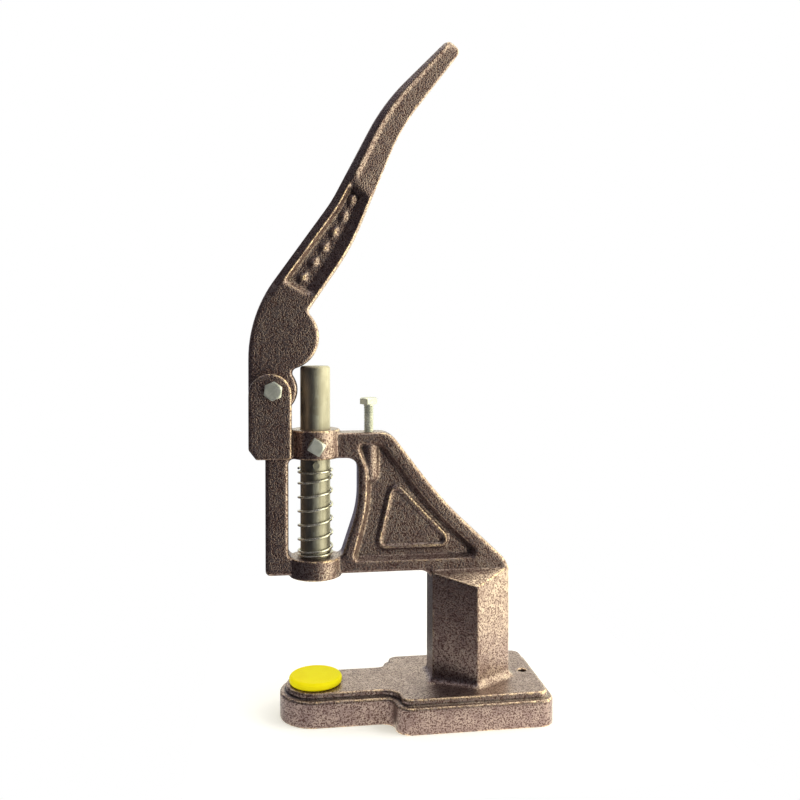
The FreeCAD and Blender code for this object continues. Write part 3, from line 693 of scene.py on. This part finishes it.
def makeCoilTree():
    tree, given = shapeTree("closedCoil", [
        ("Turns", "NodeSocketFloat", 8.0), ("Steps", "NodeSocketInt", 577),
        ("Radius", "NodeSocketFloat", 0.01), ("Wire", "NodeSocketFloat", 0.0007),
        ("Foot", "NodeSocketFloat", 0.0), ("Travel", "NodeSocketFloat", 0.05),
        ("Closed Pitch", "NodeSocketFloat", 0.002), ("Open Pitch", "NodeSocketFloat", 0.007),
        ("Material", "NodeSocketMaterial", None)])
    line = addNode(tree, "GeometryNodeMeshLine", {"Count": given["Steps"]})
    curve = addNode(tree, "GeometryNodeMeshToCurve", {"Mesh": line.outputs[0]})
    step = addNode(tree, "GeometryNodeInputIndex").outputs[0]
    last = calc(tree, "SUBTRACT", given["Steps"], 1.0)
    turn = calc(tree, "MULTIPLY", calc(tree, "DIVIDE", step, last), given["Turns"])

    # height above the nearer end
    fromEnd = calc(tree, "MINIMUM", turn, calc(tree, "SUBTRACT", given["Turns"], turn))
    closed = calc(tree, "MULTIPLY", calc(tree, "MINIMUM", fromEnd, coil["endTurn"]), given["Closed Pitch"])
    pastEnd = calc(tree, "MAXIMUM", calc(tree, "SUBTRACT", fromEnd, coil["endTurn"]), 0.0)
    ease = calc(tree, "MINIMUM", pastEnd, coil["easeTurn"])
    gain = calc(tree, "SUBTRACT", given["Open Pitch"], given["Closed Pitch"])
    eased = calc(tree, "ADD", calc(tree, "MULTIPLY", ease, given["Closed Pitch"]),
                 calc(tree, "MULTIPLY", gain, calc(tree, "MULTIPLY", ease, ease)))
    pastEase = calc(tree, "SUBTRACT", fromEnd, coil["endTurn"] + coil["easeTurn"])
    free = calc(tree, "MULTIPLY", calc(tree, "MAXIMUM", pastEase, 0.0), given["Open Pitch"])
    rise = calc(tree, "ADD", calc(tree, "ADD", closed, eased), free)

    # the upper half is counted down from the top
    upper = calc(tree, "GREATER_THAN", turn, calc(tree, "MULTIPLY", given["Turns"], 0.5))
    fall = calc(tree, "SUBTRACT", given["Travel"], calc(tree, "MULTIPLY", rise, 2.0))
    lift = calc(tree, "ADD", rise, calc(tree, "MULTIPLY", upper, fall))
    height = calc(tree, "ADD", given["Foot"], lift)
    angle = calc(tree, "MULTIPLY", calc(tree, "ADD", turn, coil["startTurn"]), fullTurn)
    helix = addNode(tree, "GeometryNodeSetPosition", {
        "Geometry": curve.outputs[0], "Position": aroundAxis(tree, angle, given["Radius"], height)})
    ring = addNode(tree, "GeometryNodeCurvePrimitiveCircle", {
        "Resolution": coil["wireSides"], "Radius": given["Wire"]})
    tube = addNode(tree, "GeometryNodeCurveToMesh", {
        "Curve": helix.outputs[0], "Profile Curve": ring.outputs[0], "Fill Caps": True})
    endTree(tree, tube.outputs[0], given["Material"])
    return tree


closedCoil = makeCoilTree()


def makeSpring():
    travel = coil["top"] - coil["foot"]
    slowTurns = 2 * coil["endTurn"] + coil["easeTurn"]  # turns' worth of height at the closed pitch
    openPitch = (travel - slowTurns * coil["closedPitch"]) / (coil["turns"] - slowTurns)
    mesh = runTree(closedCoil, {
        "Turns": coil["turns"], "Steps": int(coil["turns"] * coil["stepsPerTurn"]) + 1,
        "Radius": coil["radius"] * mm, "Wire": coil["wire"] * mm, "Foot": coil["foot"] * mm,
        "Travel": travel * mm, "Closed Pitch": coil["closedPitch"] * mm, "Open Pitch": openPitch * mm,
        "Material": finishes["spring_wire"]})
    spring = newPiece("returnSpring", mesh, "spring_wire", "frame", "return_spring")
    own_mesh(spring)
    return spring


returnSpring = makeSpring()
print("return spring:", len(returnSpring.data.polygons), "faces")


# screws with turned threads

metricScrew = {
    "depthShare": 0.5, "flank": (0.15, 0.85), "clearance": 0.02, "rowsPerTurn": 8, "around": 37,
    "headStep": 5, "chamfer": 30, "capShare": 0.9, "poleShare": 0.02, "topLip": 0.02, "footLip": 0.05,
    "footShare": 0.3, "sharp": 28,
}
hexHead = {"sides": 6, "across": 10.0, "head": 4.0, "flatShare": 0.9, "outer": 3.0, "pitch": 1.0}
squareHead = {"sides": 4, "across": 8.0, "head": 6.0, "flatShare": 0.88, "outer": 4.0, "pitch": 1.25}
screwsWanted = [
    {**hexHead, "name": "stopBolt", "node": "stop_bolt", "body": "stop_bolt", "seat": (stopX, 0, 187.9),
     "along": (0, 0, -1), "length": 28.0, "turn": 12.0, "plain": 0.6},
    {**hexHead, "name": "pivotBolt", "node": "pivot_bolt", "body": "frame", "seat": (pivotX, -16.0, pivotZ),
     "along": (0, 1, 0), "length": 42.0, "turn": 7.0, "plain": 30.0},
    {**squareHead, "name": "ramScrew", "node": "ram_screw", "body": "frame", "seat": (0, -16.0, setScrewZ),
     "along": (0, 1, 0), "length": 6.7, "turn": 31.0, "plain": 0.4},
]


def makeThreadTree():
    tree, given = shapeTree("screwThread", [
        ("Around", "NodeSocketInt", 37), ("Rows", "NodeSocketInt", 200), ("Length", "NodeSocketFloat", 0.02),
        ("Outer", "NodeSocketFloat", 0.003), ("Depth", "NodeSocketFloat", 0.0005),
        ("Pitch", "NodeSocketFloat", 0.001), ("Plain", "NodeSocketFloat", 0.0),
        ("Material", "NodeSocketMaterial", None)])
    grid = addNode(tree, "GeometryNodeMeshGrid", {
        "Size X": 1.0, "Size Y": 1.0, "Vertices X": given["Around"], "Vertices Y": given["Rows"]})
    place = addNode(tree, "GeometryNodeInputPosition").outputs[0]
    spot = addNode(tree, "ShaderNodeSeparateXYZ", {0: place}).outputs
    share = calc(tree, "ADD", spot[0], 0.5)
    along = calc(tree, "MULTIPLY", calc(tree, "ADD", spot[1], 0.5), given["Length"])

    # groove, which starts past the plain part, and a chamfered tip
    turns = calc(tree, "SUBTRACT", calc(tree, "DIVIDE", along, given["Pitch"]), share)
    phase = calc(tree, "FRACT", calc(tree, "ADD", turns, 8.0))  # whole turns keep it above zero
    flank = calc(tree, "ABSOLUTE", calc(tree, "SUBTRACT", calc(tree, "MULTIPLY", phase, 2.0), 1.0))
    groove = ramp(tree, flank, *metricScrew["flank"], 1.0, 0.0, smooth=False)
    threaded = ramp(tree, along, given["Plain"], calc(tree, "ADD", given["Plain"], given["Pitch"]))
    sink = calc(tree, "MULTIPLY", calc(tree, "MULTIPLY", groove, threaded), given["Depth"])
    fromTip = calc(tree, "SUBTRACT", given["Length"], along)
    point = calc(tree, "MAXIMUM", calc(tree, "SUBTRACT", given["Depth"], fromTip), 0.0)
    radius = calc(tree, "SUBTRACT", calc(tree, "SUBTRACT", given["Outer"], sink), point)
    angle = calc(tree, "MULTIPLY", share, fullTurn)
    tube = addNode(tree, "GeometryNodeSetPosition", {
        "Geometry": grid.outputs[0], "Position": aroundAxis(tree, angle, radius, along)})
    seam = addNode(tree, "GeometryNodeMergeByDistance", {"Geometry": tube.outputs[0], "Distance": weld})
    endTree(tree, seam.outputs[0], given["Material"])
    return tree


screwThread = makeThreadTree()


def screwHead(sides, across, high, flatShare):
    # prism with the turned chamfer of a bolt head, top at -high and seat at 0
    look = metricScrew
    half, part = across / 2, fullTurn / sides
    angles = np.radians(np.arange(0, 360, look["headStep"]))
    corner = half / np.cos((angles + part / 2) % part - part / 2)
    face = np.full_like(angles, half * flatShare)
    pole = face * look["poleShare"]
    drop = (corner - face) * math.tan(math.radians(look["chamfer"]))
    rings = [(pole, -high), (face * look["capShare"], -high), (face, -high + look["topLip"]),
             (corner, -high + drop), (corner, -drop * look["footShare"] - look["footLip"]),
             (face, 0.0), (pole, 0.0)]
    points = []
    for radius, height in rings:
        level = np.broadcast_to(height, angles.shape)
        points += list(np.column_stack([radius * np.cos(angles), radius * np.sin(angles), level]) * mm)
    size = len(angles)
    faces = ringFaces(len(rings), size)
    faces.append(tuple(range(size)))
    faces.append(tuple(range(len(points) - size, len(points))))
    return meshFrom("screwHead", points, faces)


def closeEnds(mesh):
    bm = bmesh.new()
    bm.from_mesh(mesh)
    bmesh.ops.holes_fill(bm, edges=bm.edges)
    bmesh.ops.recalc_face_normals(bm, faces=bm.faces)
    bm.to_mesh(mesh)
    bm.free()
    return mesh


def makeScrew(row):
    shank = closeEnds(runTree(screwThread, {
        "Around": metricScrew["around"],
        "Rows": int(row["length"] / row["pitch"] * metricScrew["rowsPerTurn"]) + 1,
        "Length": row["length"] * mm, "Outer": (row["outer"] - metricScrew["clearance"]) * mm,
        "Depth": metricScrew["depthShare"] * row["pitch"] * mm, "Pitch": row["pitch"] * mm,
        "Plain": row["plain"] * mm, "Material": finishes["zinc_plated"]}))
    head = screwHead(row["sides"], row["across"], row["head"], row["flatShare"])
    mesh = joined([head, shank], row["name"])
    turn = Vector(row["along"]).to_track_quat("Z", "Y").to_matrix().to_4x4()
    spin = Matrix.Rotation(math.radians(row["turn"]), 4, "Z")
    mesh.transform(Matrix.Translation(Vector(row["seat"]) * mm) @ turn @ spin)
    screw = newPiece(row["name"], mesh, "zinc_plated", row["body"], row["node"])
    mesh.set_sharp_from_angle(angle=math.radians(metricScrew["sharp"]))
    return screw


for row in screwsWanted:
    screw = makeScrew(row)
    print(row["name"] + ":", len(screw.data.polygons), "faces")


# studio: a room that only reflections see, a pale table and a softbox

studio = {
    "right": 3.8, "rightRamp": (0.28, 0.75),
    "top": 1.35, "topFrom": (0.35, 0.1, 0.93), "topRamp": (0.5, 0.95),
    "brow": 5.5, "browFrom": (0.216, 0.36, 0.908), "browRamp": (0.88, 0.98),
    "back": 1.4, "backRamp": (0.3, 1.0), "backRise": (-0.06, 0.12, 0.15, 1.0),
    "backLeft": (-0.75, -0.15, 0.25, 1.0),
    "room": 0.034, "diffuse": 0.8, "warmShare": 0.6,
    "cool": (0.84, 0.88, 1.26, 1), "warm": (1.0, 1.0, 0.73, 1),
}


def rayKinds(tree):
    rays = tree.nodes.new("ShaderNodeLightPath").outputs
    return rays["Is Camera Ray"], calc(tree, "MAXIMUM", rays["Is Glossy Ray"], rays["Is Transmission Ray"])


def makeWorld():
    world = bpy.data.worlds.new("studioWorld")
    scene.world = world
    world.use_nodes = True
    tree = world.node_tree
    direction = tree.nodes.new("ShaderNodeTexCoord").outputs["Generated"]
    way = addNode(tree, "ShaderNodeSeparateXYZ", {0: direction}).outputs

    def lobe(name):
        facing = addNode(tree, "ShaderNodeVectorMath", {
            0: direction, 1: studio[name + "From"]}, operation="DOT_PRODUCT").outputs["Value"]
        return calc(tree, "MULTIPLY", ramp(tree, facing, *studio[name + "Ramp"]), studio[name])

    right = calc(tree, "MULTIPLY", ramp(tree, way[0], *studio["rightRamp"]), studio["right"])
    raised = calc(tree, "MULTIPLY", ramp(tree, way[2], *studio["backRise"]),
                  ramp(tree, way[0], *studio["backLeft"]))
    back = calc(tree, "MULTIPLY", ramp(tree, way[1], *studio["backRamp"]), raised)
    back = calc(tree, "MULTIPLY", back, studio["back"])
    lights = calc(tree, "MAXIMUM", calc(tree, "MAXIMUM", right, lobe("top")),
                  calc(tree, "MAXIMUM", lobe("brow"), back))
    seen, shiny = rayKinds(tree)
    level = mixValue(tree, shiny, studio["diffuse"], calc(tree, "ADD", lights, studio["room"]))
    warmth = calc(tree, "MULTIPLY", lights, studio["warmShare"], clamp=True)
    tint = mixColor(tree, shiny, white, mixColor(tree, warmth, studio["cool"], studio["warm"]))
    fill(tree, tree.nodes["Background"], {
        "Color": mixColor(tree, seen, tint, white), "Strength": mixValue(tree, seen, level, 1.0)})


tableTop = {
    "low": (-0.07, -0.108), "high": (0.23, 0.3), "grainScale": 40.0, "pale": (0.86, 0.86, 0.86, 1),
    "paler": (0.9, 0.9, 0.9, 1), "dark": (0.12, 0.12, 0.12, 1), "roughness": 0.9, "specular": 0.1,
    "glow": (1.0, 0.94, 0.72, 1), "lift": 0.35, "shine": 1.5, "fade": (0.06, 0.10),
    "dim": (-0.06, 0.14, 0.22, 1.0),
}


def makeFloor():
    (left, front), (right, rear) = tableTop["low"], tableTop["high"]
    corners = [(left, front, 0), (right, front, 0), (right, rear, 0), (left, rear, 0)]
    mesh = bpy.data.meshes.new("floor")
    mesh.from_pydata(corners, [], [(0, 1, 2, 3)])
    floor = bpy.data.objects.new("floor", mesh)
    scene.collection.objects.link(floor)
    material, tree, surface, where = newMaterial("paleFloor")
    seen, shiny = rayKinds(tree)
    spot = addNode(tree, "ShaderNodeSeparateXYZ", {0: where}).outputs

    # in reflections the table glows close to the press and goes dark away from it
    away = ramp(tree, calc(tree, "ABSOLUTE", spot[1]), *tableTop["fade"])
    close = calc(tree, "MULTIPLY", shiny, calc(tree, "SUBTRACT", 1.0, away))
    close = calc(tree, "MULTIPLY", close, ramp(tree, spot[0], *tableTop["dim"]))
    pale = mixColor(tree, noise(tree, where, tableTop["grainScale"]), tableTop["pale"], tableTop["paler"])
    glow = calc(tree, "ADD", calc(tree, "MULTIPLY", seen, tableTop["lift"]),
                calc(tree, "MULTIPLY", close, tableTop["shine"]))
    fill(tree, surface, {
        "Base Color": mixColor(tree, calc(tree, "MULTIPLY", shiny, away), pale, tableTop["dark"]),
        "Roughness": tableTop["roughness"], "Specular IOR Level": tableTop["specular"],
        "Emission Color": tableTop["glow"], "Emission Strength": glow})
    mesh.materials.append(material)


softbox = {"place": (0.9, -0.25, 0.75), "aim": (0.05, 0, 0.2), "size": 0.7, "power": 6.0}


def makeLamp():
    lamp = bpy.data.lights.new("softbox", "AREA")
    lamp.shape, lamp.size, lamp.energy = "SQUARE", softbox["size"], softbox["power"]
    holder = bpy.data.objects.new("softbox", lamp)
    scene.collection.objects.link(holder)
    holder.location = softbox["place"]
    holder.visible_glossy = False  # the room gives the reflections
    aim = Vector(softbox["aim"]) - Vector(softbox["place"])
    holder.rotation_euler = aim.to_track_quat("-Z", "Y").to_euler()


# camera: the photograph's viewpoint

viewpoint = {"place": (-0.02433, -0.52597, 0.23283), "yaw": 8.2423, "pitch": 0.9005, "lens": 39.018,
             "sensor": 36.0, "shift": -0.07, "nearest": 0.01}


def makeCamera():
    camera = bpy.data.cameras.new("camera")
    camera.lens, camera.sensor_width = viewpoint["lens"], viewpoint["sensor"]
    camera.shift_y, camera.clip_start = viewpoint["shift"], viewpoint["nearest"]
    holder = bpy.data.objects.new("camera", camera)
    scene.collection.objects.link(holder)
    holder.location = viewpoint["place"]
    holder.rotation_euler = (math.radians(90 - viewpoint["pitch"]), 0, -math.radians(viewpoint["yaw"]))
    scene.camera = holder


makeWorld()
makeFloor()
makeLamp()
makeCamera()
scene.view_settings.view_transform = "Standard"
print("studio ready")
